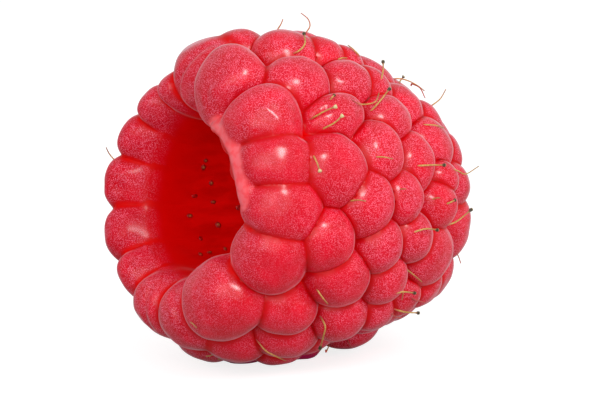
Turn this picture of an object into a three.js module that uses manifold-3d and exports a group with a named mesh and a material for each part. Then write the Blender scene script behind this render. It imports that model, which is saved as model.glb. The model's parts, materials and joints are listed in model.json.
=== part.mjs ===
// A picked raspberry lying on its side, as a three.js scene graph.
//
// Millimetres, +Z up. The fruit is modelled about its own axis: +X runs from the open
// rim to the closed tip, and the group tips it so that the tip hangs a little low.
// A place on the fruit is (u, turn): u is the distance along the axis from the rim's
// crest, and turn is the angle about the axis, 0 on top and 90 on the +Y side.

import * as THREE from 'three';
import { mergeVertices } from 'three/addons/utils/BufferGeometryUtils.js';
import Module from 'manifold-3d';

const wasm = await Module();
wasm.setup();

// ---- Driving dimensions ----

const LENGTH = 21; // along the axis, crest of the rim to tip
const WAIST = 7; // u where the fruit is widest
const WAIST_RADIUS = 10.4;
const CREST_RADIUS = 7.6; // of the ring that runs along the top of the rim
const TIP_DROOP = 14; // degrees that the axis falls from rim to tip
const AXIS_START = [-9.35, 0, 11.9]; // where the axis meets the rim's crest plane

const HOLLOW_RADIUS = 5.6; // the space that the receptacle left
const HOLLOW_FROM = 2;
const HOLLOW_TO = 13;

const DRUPELET_DEPTH = 2.4; // from a drupelet's top down to its widest level
const DRUPELET_FULLNESS = 2.35; // 2 is an ellipsoid, more has a flatter top and steeper sides
const ACROSS_OVERLAP = 1.2; // a drupelet's full width over the width that shows
const ALONG_OVERLAP = 1.32;
const LOBE_OVERLAP = 1.38; // the same for the lobes of the rim
const BALL_DETAIL = 1;
const SKIN_TO_CORE = 2; // the flesh under the drupelets starts this deep

const STYLE_RADIUS = 0.075; // a dried style, thin as a bristle
const KNOB_RADIUS = 0.15;
const STYLE_ROOT = 0.06; // how deep a style's foot sits in the skin
const STYLE_CLEARANCE = 0.12; // the least gap between a style and the drupelets it leans over

// Where the dome is fuller than a turned shape, or less full where the share is negative:
// [share of the radius, turn, spread in degrees, u, spread in mm].
const UNEVENNESS = [
  [-0.13, 44, 32, 0, 7],
  [-0.045, 143, 20, 0, 7],
  [-0.14, 222, 23, 13.5, 4],
  [0.045, 352, 26, 5, 6],
  [0.035, 185, 22, 5, 3.5],
  [0.06, 175, 24, 14, 3],
  [0.06, 310, 60, 17, 3],
];

// The ring of lobes that curls over the rim: [turn, u of its crest, inner radius].
const RIM_LOBES = [
  [350, 0.2, 4.2],
  [330, 0, 3.9],
  [308, -0.5, 4],
  [288, -0.4, 4.3],
  [269, 0.2, 5.2],
  [248, 0.6, 5.3],
  [225, 0.3, 5.3],
  [206, 0.2, 5.3],
  [187, 0, 5.3],
  [167, 0, 5.3],
  [145, 0, 5.3],
  [121, -0.1, 5.3],
  [97, -0.2, 5.3],
  [74, 0, 5.3],
  [55, 0, 5.2],
  [38, 0, 5],
  [16, 0.2, 4.6],
];
const LOBE_LENGTH = 5;

// The drupelets that grew unevenly: [u, turn, width across, length along, roll].
const UNEVEN_DRUPELETS = [
  [3, 1, 3.4, 3.4, 0],
  [4.3, 347, 3.8, 3.8, 0],
  [3.1, 322, 3.8, 3.8, 20],
  [5, 306, 2.8, 4, 25],
  [4.8, 288, 4.4, 4.2, 0],
  [4.9, 261, 3.8, 3.4, 0],
  [6.2, 249, 3.6, 3.8, -15],
  [4.2, 232, 3.4, 3.8, -10],
  [5.3, 217, 3.6, 4.2, -10],
  [3.6, 199, 3.8, 4, 0],
  [6.8, 343, 3.2, 3.2, 0],
  [6.7, 323, 3.2, 3.6, 25],
  [8.3, 296, 3.9, 3.2, 0],
  [7.3, 276, 4, 3.3, 0],
  [9, 265, 3.4, 3, 0],
  [8.3, 232, 3.4, 3.4, -20],
  [8.6, 217, 3.4, 3.4, 0],
  [8.6, 342, 2.8, 2.8, 0],
  [9.3, 311, 3.2, 3.4, 25],
  [9.6, 330, 3.2, 3.2, 0],
  [10.2, 251, 3.3, 3, -15],
  [10.8, 240, 2.8, 3, -20],
  [11.8, 323, 3.4, 3.4, 0],
  [11.5, 297, 3.8, 3, 0],
  [10.3, 281, 3.3, 2.9, 0],
  [12, 267, 3.2, 3.2, 0],
  [12.6, 246, 3, 3, 0],
  [11.3, 229, 3.3, 3.4, -15],
  [13.7, 309, 3.2, 3.4, 10],
  [14.3, 323, 3.2, 3.2, 0],
  [14.3, 295, 2.4, 2.6, 0],
  [13.5, 281, 3.2, 3, 0],
  [14, 260, 4, 4, -10],
  [15.5, 243, 3.4, 3.4, 0],
  [16.3, 315, 3, 3.2, 0],
  [17.5, 303, 3, 3.4, 0],
  [18.9, 272, 4.4, 4.2, 0],
];

// The regular rings on the rest of the fruit: [u, first turn, last turn, count, size].
const DRUPELET_RINGS = [
  [4.4, 23, 177, 8, 3.9],
  [7.9, 3, 196, 10, 3.8],
  [11.4, 347, 565, 10, 3.8],
  [14.8, 351, 575, 9, 3.8],
  [17.6, 337, 598, 8, 3.6],
  [19.8, 345, 575, 4, 3.2],
  [20.5, 0, 0, 1, 2.6],
];
const RING_WANDER = [0.35, 2.5, 0.25]; // how far a ring's drupelets stray: u, turn, size

// Dried styles: [u, turn, heading, length, rise, knob]. Heading 0 leans to the tip,
// and 90 leans up the turn.
const STYLES = [
  [6.6, 358, 150, 1.5, 1.3, 0],
  [3.7, 336, 40, 1.7, 1.1, 1],
  [4.4, 352, 200, 1.2, 1, 1],
  [7.2, 337, 280, 1.6, 0.6, 0],
  [8.2, 338, 180, 0.9, 1.2, 0],
  [8.8, 320, 70, 2.6, 1.3, 1],
  [6.4, 313, 0, 2, 0.8, 1],
  [7.4, 310, 45, 2.4, 1, 1],
  [10.6, 328, 60, 1, 1, 1],
  [12.2, 326, 330, 1.2, 0.8, 0],
  [13.6, 321, 20, 2, 1.4, 1],
  [3.2, 304, 20, 1.9, 1, 1],
  [3.6, 299, 40, 1.9, 1, 1],
  [3, 291, 255, 1.6, 0.6, 0],
  [7.2, 293, 315, 1.6, 0.7, 0],
  [11.5, 311, 355, 2, 0.8, 1],
  [10.8, 294, 5, 2.1, 0.9, 1],
  [14.3, 299, 0, 2.8, 1, 1],
  [5.7, 276, 30, 1.4, 0.9, 0],
  [9, 284, 230, 1, 0.7, 0],
  [12.3, 283, 180, 0.9, 0.8, 0],
  [14.3, 283, 178, 1.2, 0.9, 0],
  [14.8, 275, 30, 2.4, 1, 1],
  [10.8, 269, 20, 2, 0.9, 1],
  [11.6, 255, 340, 1.4, 0.7, 0],
  [10.7, 245, 40, 2, 0.9, 1],
  [11.8, 248, 200, 1.3, 0.8, 0],
  [12.2, 237, 25, 2, 1, 1],
  [5.2, 244, 335, 1.5, 0.6, 0],
  [6.5, 234, 290, 2.3, 0.7, 1],
  [3.8, 218, 5, 2.5, 0.3, 0],
  [0.9, 202, 100, 1, 0.4, 0],
  [8.8, 223, 280, 0.8, 0.4, 0],
  [15.5, 262, 0, 0.8, 0.6, 0],
];

// Styles on the rest of the fruit: one in each chosen ring gap, [u, first turn, last turn, count].
const STYLE_RINGS = [
  [6.2, 14, 140, 6],
  [9.7, 20, 145, 6],
  [13.1, 350, 500, 6],
  [16.3, 5, 140, 4],
];

// ---- The dome ----

const radians = THREE.MathUtils.degToRad;

function turnBetween(turn, other) {
  return THREE.MathUtils.euclideanModulo(turn - other + 180, 360) - 180;
}

function domeRadius(u) {
  if (u < WAIST) {
    const rise = 1 - Math.pow((WAIST - u) / WAIST, 2.1);
    return CREST_RADIUS + (WAIST_RADIUS - CREST_RADIUS) * Math.sqrt(Math.max(rise, 0));
  }
  const fall = 1 - Math.pow((u - WAIST) / (LENGTH - WAIST), 1.9);
  return WAIST_RADIUS * Math.pow(Math.max(fall, 0), 1 / 1.9);
}

function surfaceRadius(u, turn) {
  let share = 1;
  for (const [extra, atTurn, turnSpread, atU, uSpread] of UNEVENNESS) {
    const aside = turnBetween(turn, atTurn) / turnSpread;
    const away = (u - atU) / uSpread;
    share += extra * Math.exp(-aside * aside - away * away);
  }
  return domeRadius(u) * share;
}

function aboutAxis(u, radius, turn) {
  const angle = radians(turn);
  return new THREE.Vector3(u, radius * Math.sin(angle), radius * Math.cos(angle));
}

// The directions at a place on the dome: to the tip, up the turn, and out of the fruit.
function domeFrame(u, turn) {
  const step = 0.05;
  const low = Math.min(u, LENGTH - 3 * step);
  const at = aboutAxis(u, surfaceRadius(u, turn), turn);
  const ahead = aboutAxis(low + step, surfaceRadius(low + step, turn), turn);
  const behind = aboutAxis(low - step, surfaceRadius(low - step, turn), turn);
  const along = ahead.sub(behind).normalize();
  const across = new THREE.Vector3(0, Math.cos(radians(turn)), -Math.sin(radians(turn)));
  const out = new THREE.Vector3().crossVectors(along, across).normalize();
  return { at, along, across, out };
}

// ---- Solids ----

function solid(geometry) {
  geometry.deleteAttribute('normal');
  geometry.deleteAttribute('uv');
  const merged = mergeVertices(geometry, 1e-4);
  return new wasm.Manifold(new wasm.Mesh({
    numProp: 3,
    vertProperties: new Float32Array(merged.attributes.position.array),
    triVerts: new Uint32Array(merged.index.array),
  }));
}

function toGeometry(body) {
  const mesh = body.getMesh();
  const geometry = new THREE.BufferGeometry();
  geometry.setAttribute('position', new THREE.BufferAttribute(mesh.vertProperties, 3));
  geometry.setIndex(new THREE.BufferAttribute(mesh.triVerts, 1));
  return geometry;
}

// Moves each corner of a unit ball by a rule.
function reshapedBall(rule) {
  const ball = new THREE.IcosahedronGeometry(1, BALL_DETAIL);
  const corners = ball.attributes.position;
  for (let i = 0; i < corners.count; i += 1) {
    const moved = rule(new THREE.Vector3().fromBufferAttribute(corners, i));
    corners.setXYZ(i, moved.x, moved.y, moved.z);
  }
  return solid(ball);
}

function fullness(level, side) {
  const sum = Math.pow(Math.abs(level), DRUPELET_FULLNESS) + Math.pow(Math.abs(side), DRUPELET_FULLNESS);
  return Math.pow(sum, 1 / DRUPELET_FULLNESS);
}

// A drupelet: round from above, full at its top, and tucked under the dome.
function drupelet([u, turn, width, length, roll]) {
  const frame = domeFrame(u, turn);
  const rollAngle = radians(roll);
  const along = frame.along.clone().applyAxisAngle(frame.out, rollAngle);
  const across = frame.across.clone().applyAxisAngle(frame.out, rollAngle);
  const centre = frame.at.clone().addScaledVector(frame.out, -DRUPELET_DEPTH);
  const halfLength = 0.5 * length * ALONG_OVERLAP;
  const halfWidth = 0.5 * width * ACROSS_OVERLAP;
  return {
    body: () => reshapedBall((p) => {
      const scale = 1 / fullness(p.z, Math.hypot(p.x, p.y));
      return centre.clone()
        .addScaledVector(along, p.x * scale * halfLength)
        .addScaledVector(across, p.y * scale * halfWidth)
        .addScaledVector(frame.out, p.z * scale * DRUPELET_DEPTH);
    }),
    holds: (point) => {
      const from = point.clone().sub(centre);
      const side = Math.hypot(from.dot(along) / halfLength, from.dot(across) / halfWidth);
      return fullness(from.dot(frame.out) / DRUPELET_DEPTH, side) < 1;
    },
  };
}

// A lobe of the rim: it narrows towards the mouth, because its sides run to the axis.
function rimLobe([turn, crest, innerRadius], index) {
  const before = RIM_LOBES.at(index - 1)[0];
  const after = RIM_LOBES[(index + 1) % RIM_LOBES.length][0];
  const halfAngle = 0.25 * Math.abs(turnBetween(before, after)) * LOBE_OVERLAP;
  const halfLength = 0.5 * LOBE_LENGTH;
  const middle = crest + halfLength;
  const outerRadius = surfaceRadius(middle, turn);
  const radius = 0.5 * (outerRadius + innerRadius);
  const halfDepth = 0.5 * (outerRadius - innerRadius);
  return {
    body: () => reshapedBall((p) => {
      const scale = 1 / fullness(p.y, Math.hypot(p.x, p.z));
      return aboutAxis(
        middle + p.x * scale * halfLength,
        radius + p.z * scale * halfDepth,
        turn + p.y * scale * halfAngle,
      );
    }),
    holds: (point) => {
      const itsRadius = Math.hypot(point.y, point.z);
      const itsTurn = THREE.MathUtils.radToDeg(Math.atan2(point.y, point.z));
      const side = Math.hypot((point.x - middle) / halfLength, (itsRadius - radius) / halfDepth);
      return fullness(turnBetween(itsTurn, turn) / halfAngle, side) < 1;
    },
  };
}

// A steady, uneven value from -1 to 1 for a drupelet's number.
function stray(number, kind) {
  const wave = Math.sin(number * 12.9898 + kind * 78.233) * 43758.5453;
  return 2 * (wave - Math.floor(wave)) - 1;
}

function ringDrupelets() {
  const found = [];
  for (const [u, first, last, count, size] of DRUPELET_RINGS) {
    for (let i = 0; i < count; i += 1) {
      const number = found.length + 1;
      const share = count > 1 ? i / (count - 1) : 0;
      const loose = count > 1 ? 1 : 0;
      found.push([
        u + loose * RING_WANDER[0] * stray(number, 1),
        first + share * (last - first) + loose * RING_WANDER[1] * stray(number, 2),
        size + RING_WANDER[2] * stray(number, 3),
        size + RING_WANDER[2] * stray(number, 4),
        0,
      ]);
    }
  }
  return found;
}

// A shape turned about the fruit's axis from [u, radius] pairs that start and end on it.
function turned(profile, segments) {
  const points = profile.map(([u, radius]) => new THREE.Vector2(radius, u));
  return solid(new THREE.LatheGeometry(points, segments).rotateZ(-Math.PI / 2));
}

function coreProfile() {
  const start = HOLLOW_FROM + 0.6;
  const end = LENGTH - SKIN_TO_CORE;
  const steps = 8;
  const profile = [[start, 0]];
  for (let i = 0; i < steps; i += 1) {
    const u = start + (end - start) * i / steps;
    profile.push([u, domeRadius(u) - SKIN_TO_CORE]);
  }
  profile.push([end, 0]);
  return profile;
}

function hollowProfile() {
  const steps = 8;
  const profile = [[-1, 0], [-1, HOLLOW_RADIUS + 0.4]];
  for (let i = 0; i < steps; i += 1) {
    const share = Math.sin(0.5 * Math.PI * i / steps);
    const narrowing = Math.pow(1 - Math.pow(share, 2.2), 0.6);
    profile.push([HOLLOW_FROM + (HOLLOW_TO - HOLLOW_FROM) * share, HOLLOW_RADIUS * narrowing]);
  }
  profile.push([HOLLOW_TO, 0]);
  return profile;
}

// ---- The fruit ----

const fruit = new THREE.Group();
fruit.position.set(...AXIS_START);
fruit.rotation.y = radians(TIP_DROOP);
fruit.updateMatrixWorld();

const drupelets = [...UNEVEN_DRUPELETS, ...ringDrupelets()].map(drupelet);
const lobes = RIM_LOBES.map(rimLobe);

// Everything under the surface that the fruit rests on, which presses its drupelets flat.
function surfaceBelow() {
  const block = new THREE.BoxGeometry(60, 60, 20);
  block.translate(0, 0, -10);
  block.applyMatrix4(fruit.matrixWorld.clone().invert());
  return solid(block);
}

let berryBody = turned(coreProfile(), 24);
for (const part of drupelets) {
  berryBody = berryBody.add(part.body());
}
berryBody = berryBody.subtract(turned(hollowProfile(), 24));
for (const part of lobes) {
  berryBody = berryBody.add(part.body());
}
berryBody = berryBody.subtract(surfaceBelow());

const skin = new THREE.MeshStandardMaterial({ color: '#dd3a52', roughness: 0.55, metalness: 0 });
const berry = new THREE.Mesh(toGeometry(berryBody), skin);
berry.name = 'berry';
fruit.add(berry);

// ---- The dried styles ----

// How far out of the dome the skin lies at a place, found by coming in from outside.
function skinHeight(u, turn) {
  const { at, out } = domeFrame(u, turn);
  const step = 0.02;
  for (let height = 0.8; height > -SKIN_TO_CORE; height -= step) {
    const point = at.clone().addScaledVector(out, height);
    if (drupelets.some((part) => part.holds(point)) || lobes.some((part) => part.holds(point))) {
      return height;
    }
  }
  return -SKIN_TO_CORE;
}

// The line that a style follows, from its foot in the skin up and over its neighbours.
function stylePath([u, turn, heading, length, rise]) {
  const samples = 6;
  const foot = skinHeight(u, turn) - STYLE_ROOT;
  const places = [];
  let climb = rise;
  for (let i = 0; i <= samples; i += 1) {
    const share = i / samples;
    const reach = length * share * share * (1.5 - 0.5 * share);
    const placeU = u + reach * Math.cos(radians(heading));
    const arc = reach * Math.sin(radians(heading)) / surfaceRadius(placeU, turn);
    const placeTurn = turn + THREE.MathUtils.radToDeg(arc);
    const lift = Math.sin(0.5 * Math.PI * share);
    places.push([placeU, placeTurn, lift]);
    if (i > 1) {
      const needed = skinHeight(placeU, placeTurn) + STYLE_CLEARANCE + STYLE_RADIUS - foot;
      climb = Math.max(climb, needed / lift);
    }
  }
  const points = places.map(([placeU, placeTurn, lift]) => {
    const { at, out } = domeFrame(placeU, placeTurn);
    return at.addScaledVector(out, foot + climb * lift);
  });
  return new THREE.CatmullRomCurve3(points);
}

function styleBody(row) {
  const path = stylePath(row);
  const section = new THREE.Shape();
  const sides = 5;
  for (let i = 0; i < sides; i += 1) {
    const angle = 2 * Math.PI * i / sides;
    const x = STYLE_RADIUS * Math.cos(angle);
    const y = STYLE_RADIUS * Math.sin(angle);
    if (i === 0) {
      section.moveTo(x, y);
    } else {
      section.lineTo(x, y);
    }
  }
  const bristle = solid(new THREE.ExtrudeGeometry(section, { steps: 5, extrudePath: path, bevelEnabled: false }));
  if (!row[5]) {
    return bristle;
  }
  const end = path.getPoint(1);
  const knob = new THREE.OctahedronGeometry(KNOB_RADIUS, 0).translate(end.x, end.y, end.z);
  return bristle.add(solid(knob));
}

function ringStyles() {
  const found = [];
  for (const [u, first, last, count] of STYLE_RINGS) {
    for (let i = 0; i < count; i += 1) {
      const number = STYLES.length + found.length;
      found.push([
        u + 0.3 * stray(number, 1),
        first + (last - first) * i / (count - 1) + 3 * stray(number, 2),
        Math.round(60 * stray(number, 3)),
        1.8 + 0.6 * stray(number, 4),
        0.9,
        i % 2,
      ]);
    }
  }
  return found;
}

const driedStyle = new THREE.MeshStandardMaterial({ color: '#b5884a', roughness: 0.6, metalness: 0 });
[...STYLES, ...ringStyles()].forEach((row, index) => {
  const style = new THREE.Mesh(toGeometry(styleBody(row)), driedStyle.clone());
  style.name = `dried_style_${String(index + 1).padStart(2, '0')}`;
  fruit.add(style);
});

export default fruit;
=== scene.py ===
"""A ripe raspberry as picked, lying on its side with its open rim towards the viewer.

The berry's own measure is a place on its dome: u is the distance along its axis from the
rim's crest, in millimetres, and turn is the angle about the axis, 0 on top and 90 on the
far side. Shapes are worked out in millimetres about that axis, and placed in metres.
"""
import json
import math

import bmesh
import bpy
import numpy as np
from mathutils import Matrix, Vector, noise
from mathutils.bvhtree import BVHTree

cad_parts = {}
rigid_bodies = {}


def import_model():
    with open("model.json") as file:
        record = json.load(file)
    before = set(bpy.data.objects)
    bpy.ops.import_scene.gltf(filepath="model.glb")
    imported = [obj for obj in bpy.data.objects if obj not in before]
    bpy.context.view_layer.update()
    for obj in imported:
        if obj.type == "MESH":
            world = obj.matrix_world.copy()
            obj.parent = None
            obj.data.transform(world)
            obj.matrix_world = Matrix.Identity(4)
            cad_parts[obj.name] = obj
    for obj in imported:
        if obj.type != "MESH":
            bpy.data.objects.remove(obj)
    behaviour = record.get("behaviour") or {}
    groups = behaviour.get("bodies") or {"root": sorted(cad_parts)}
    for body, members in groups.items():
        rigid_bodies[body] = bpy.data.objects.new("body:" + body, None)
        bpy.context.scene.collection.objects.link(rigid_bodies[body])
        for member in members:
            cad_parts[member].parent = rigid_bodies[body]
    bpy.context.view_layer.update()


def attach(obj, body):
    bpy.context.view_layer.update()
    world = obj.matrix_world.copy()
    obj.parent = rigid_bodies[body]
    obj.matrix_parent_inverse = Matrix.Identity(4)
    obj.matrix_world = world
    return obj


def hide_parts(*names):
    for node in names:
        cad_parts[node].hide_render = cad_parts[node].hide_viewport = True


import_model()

MM = 0.001

# ---- The berry's measures ----
# The berry's length, radii and place and the hollow's are the solids' own. The unevenness, the
# drupelets and the lobes are set out anew here, and the drupelets overlap a little less. Lists
# marked "worked out by another program" weren't chosen by hand, which is a fault.

LENGTH = 21
WAIST = 7
WAIST_RADIUS = 10.4
CREST_RADIUS = 7.6
RIM_CURVE, TIP_CURVE = 2.1, 1.9  # powers of the dome's outline: more is squarer
TIP_DROOP = 14
AXIS_START = (-9.35, 0, 11.9)

HOLLOW_RADIUS = 5.6
HOLLOW_FROM = 2
HOLLOW_TO = 13
HOLLOW_CURVE = (2.2, 0.6)

# The rounded edge of the flesh at the mouth, as (u, radius).
MOUTH_EDGE = [(1.95, 5.62), (1.65, 5.95), (1.55, 6.4), (1.7, 6.9), (2.1, 7.2), (2.6, 7.3)]

DRUPELET_DEPTH = 2.4
DRUPELET_FULLNESS = 2.35
LOBE_FULLNESS = 2.8
ACROSS_OVERLAP = 1.14
ALONG_OVERLAP = 1.25
SKIN_TO_CORE = 2

# Share of the radius, turn, spread in degrees, u, spread in mm.
UNEVENNESS = [
    (-0.13, 44, 32, 0, 7),
    (-0.045, 143, 20, 0, 7),
    (-0.15, 204, 17, 13.5, 4),
    (0.045, 352, 26, 5, 6),
    (0.035, 185, 22, 5, 3.5),
    (0.06, 175, 24, 14, 3),
    (0.06, 310, 60, 17, 3),
    (-0.06, 222, 15, 17, 3),
]

# Turn, half its width in degrees, from u, to u, inner and outer radius.
RIM_LOBES = [
    (341, 18, -0.9, 3.2, 3.9, 9.2), (309, 15.5, -0.7, 3.9, 4, 9.6), (288, 13.5, -0.4, 4.6, 4.3, 9.6),
    (269, 13.8, 0.2, 5.2, 5.2, 9.8), (247.5, 15.2, 0.5, 5.3, 5.3, 9.9), (216, 19.5, -0.2, 4.7, 4.9, 10),
    (189, 13.5, 0.19, 5.6, 5.3, 9.9), (168, 14.5, 0.04, 6.5, 5.3, 9.8), (146, 14.5, 0, 8, 5.35, 9.3),
    (121, 16.6, -0.1, 8.5, 5.35, 9.6), (97, 16.2, -0.2, 8.5, 5.35, 9.6), (74, 14.5, 0, 8.5, 5.35, 9.3),
    (53, 13, 0, 8, 5.3, 8.7), (34, 11, 0, 6.5, 5, 8.3), (11, 20, -0.2, 4.8, 4.4, 9.4),
]

# The pale lip where the receptacle tore away from the near lobes: u, turn, radius about the
# axis, and half the strand's thickness.
TORN_LIP = [
    (0.5, 334, 4.3, 0.16), (-0.1, 321, 4.8, 0.28), (-0.35, 309, 5.5, 0.32), (-0.2, 300, 5.75, 0.28),
    (-0.15, 293, 6.1, 0.32), (-0.25, 286, 6.45, 0.34), (-0.05, 279, 6.6, 0.32), (0.2, 272, 6.7, 0.36),
    (0.35, 267, 6.95, 0.26),
]

TORN_LIP_BANDS = (0, 0.3, 0.65)  # how far outwards each strand of the lip lies
LIP_SLANT = 0.3  # how far each strand draws back, over how far outwards it lies
LIP_STEPS = 60

# Where the veins of the drupelets ran into the receptacle: (u, turn) dots on the hollow's wall,
# worked out by another program.
VEIN_DOTS = [
    (5.25, 73.8), (5.27, 78.8), (6.08, 88.5), (5.09, 99.2), (6.4, 101.4), (4.79, 113.2), (6.73, 117.8),
    (5.36, 129.5), (5.68, 141.2), (6.86, 137.7), (4.98, 143.3),
]
# The rest of them: u, count, first turn, last turn.
VEIN_DOT_ROWS = [(5.2, 10, 160, 352), (6.7, 10, 158, 350), (8.3, 15, 5, 341), (9.8, 10, 20, 344)]
VEIN_DOT_SIZE = (0.18, 0.04)  # radius across, and height

# Dimples in the skin: u, turn, radius, spread, depth.
DIMPLES = [
    (0.05, 101, 6.65, 0.45, 0.3), (0.5, 304.5, 9.15, 0.65, 0.16), (0.5, 254, 7.6, 0.8, 0.16),
    (0.4, 296, 8.3, 0.7, 0.1), (-0.2, 100, 8.2, 0.5, 0.1), (0.1, 120, 7.6, 0.7, 0.14),
    (5.6, 98, 10.1, 0.5, 0.25), (1.4, 60, 8.3, 0.6, 0.2), (20.4, 0, 0.6, 1.8, 0.14),
]

# Folds in the skin, each a line of (u, turn, radius) places, with its spread and depth.
FOLDS = [
    ([(1.9, 358, 9.1), (0.2, 5, 8.2), (-0.25, 12, 7), (0, 19, 6.2), (0.8, 24, 5.6)], 0.24, 0.26),
    ([(-0.5, 334, 7.7), (-0.75, 337, 6.8), (-0.7, 335, 6), (-0.4, 329, 5.9)], 0.3, 0.12),
    ([(0.2, 308, 9), (0.9, 303, 9.3), (1.5, 300, 9.3)], 0.2, -0.1),
    ([(0.8, 189, 6), (0.3, 194, 7.2), (0.4, 196, 8), (1.5, 196, 9.5)], 0.22, 0.2),
    ([(0.3, 171, 6.4), (0, 173, 7.4), (0.3, 172, 8.5), (1.2, 171, 9.3)], 0.22, 0.2),
    ([(0.8, 64, 6.4), (0.2, 62, 7.4), (0.6, 60, 8.2)], 0.24, 0.16),
    ([(2.2, 303, 9.4), (3.6, 307, 9.35), (4.3, 309, 10)], 0.22, 0.2),
    ([(14.1, 297, 8.2), (15, 296, 8), (15.8, 295, 7.6)], 0.2, 0.2),
    ([(6.4, 325, 10.2), (7.6, 323, 10)], 0.25, 0.12),
]

# u, turn, width across, length along, and the roll of the ones that lie askew. Some of the
# rows were worked out by another program.
UNEVEN_DRUPELETS = [
    (2.5, 4, 3.2, 3.2), (4.4, 347, 3.8, 3.8), (3.4, 326, 3.8, 3.8, 20), (5.5, 310, 2.8, 4, 25),
    (4.9, 288, 4.2, 4.2), (5.2, 260, 3.8, 3.4), (7.3, 246.5, 3.7, 3.9, -15),
    (4.8, 227, 3.6, 3.9, -10), (7, 211, 3.7, 4.2, -10), (4.2, 198, 3.8, 4), (6.8, 344, 3.2, 3.2),
    (7.6, 329, 3.2, 3.6, 25), (8.7, 298, 3.9, 3.2), (7.8, 277, 4, 3.3), (9.5, 262, 3.5, 3),
    (9.6, 227, 3.8, 3.5, -20), (10, 206, 3.5, 3.5), (8.8, 344, 2.8, 2.8),
    (10.2, 315, 3.3, 3.5, 25), (9.7, 331, 3.2, 3.2), (11.1, 248, 3.4, 3.1, -15),
    (12, 231, 3.2, 3.2, -20), (12.6, 330, 3.4, 3.5), (12, 299, 3.8, 3), (10.7, 282, 3.4, 3),
    (12.3, 267, 3.2, 3.2), (13.8, 238, 3.1, 3), (13.4, 217, 3.2, 3.2, -15),
    (14.6, 314, 3.6, 3.6, 10), (15.2, 331, 3.3, 3.3), (14.9, 296, 2.4, 2.6),
    (14.5, 283, 3.2, 3.1), (15, 259, 4.1, 4.1, -10), (16, 240, 3.4, 3.4), (17, 318, 3, 3.2),
    (17.4, 300, 3, 3.4), (18.8, 277, 4.2, 4.2),
]

# Small round ones that fill the gaps round the tip: u, turn, size. Most of the rows were worked
# out by another program.
TIP_DRUPELETS = [
    (20.7, 139, 2.2), (20.6, 287, 2.2), (20.5, 51, 2.2), (20.2, 100, 2.2), (20.2, 171, 2.1), (19, 316, 2.3),
    (19, 171, 2.2), (19.2, 26, 2.2), (18.4, 148, 2), (16.4, 145, 2.2), (16.4, 32, 2), (20.8, 235, 2.4),
    (19.3, 107, 2.2), (18.9, 0, 2.2), (19.8, 309, 2),
]

# Where the down is rubbed thin: u, radius, turn, spread.
WORN_PATCHES = [(4, 10, 246, 5.5), (2.2, 9, 284, 4.6), (2.6, 9.3, 219, 3.8)]

# The far side of the rim, where thick down keeps the skin dull: u, radius, turn, spread.
DULL_RIM = (0, 8, 106, 6.5)

# u, first turn, last turn, count, size.
DRUPELET_RINGS = [
    (4.4, 23, 177, 8, 3.9), (7.9, 3, 196, 10, 3.8), (11.4, 347, 565, 10, 3.8),
    (14.8, 351, 575, 9, 3.8), (17.6, 337, 598, 8, 3.6), (19.8, 345, 575, 4, 3.2),
    (20.5, 0, 0, 1, 2.6),
]
RING_WANDER = (0.35, 2.5, 0.25)  # how far they stray in u, turn and size

SKIN_WAVE = 0.08  # how far the skin strays from an even dome
WAVES = [(0.5, 1), (1.1, 0.6)]  # waves to a millimetre, and their share

# How near two drupelets' skins are, in shares of their size, where each kind of crease starts.
CREASE_WIDTH = 0.1
FLANK_WIDTH = 0.18
INNER_CREASE_WIDTH = 0.2
SHALLOW_CREASE_WIDTH = 0.6

# Zones of the skin, each faded at its ends: how deep under the dome it starts and is whole,
# then the same for u where it starts, where it ends, or both.
HOLLOW_ZONE = [(1.3, 1.7), (1.2, 2.9)]
OUTER_RIM_ZONE = [(3.2, 1.7), (4.5, 2.2)]
INNER_RIM_ZONE = [(0.7, 1.5), (-0.5, 0.5), (4.2, 1.6)]
MOUTH_ZONE = [(1.1, 1.9), (0.2, 1.6), (7, 4.5)]
LIP_TURNS = [(258, 268), (342, 332)]

STYLE_RADIUS = 0.055
PLAIN_STYLE_RADIUS = 0.045
KNOB_SWELL = (0, 0.075, 0.09)  # plain, dark and pale knobs
STYLE_ROOT = 0.14  # how deep a foot sits in the skin
STYLE_CLEARANCE = 0.12
SOLID_STYLES = 56
KNOB_START = 0.87  # share of the style's length

PLAIN, DARK, PALE = 0, 1, 2  # the knob at a style's end

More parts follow.
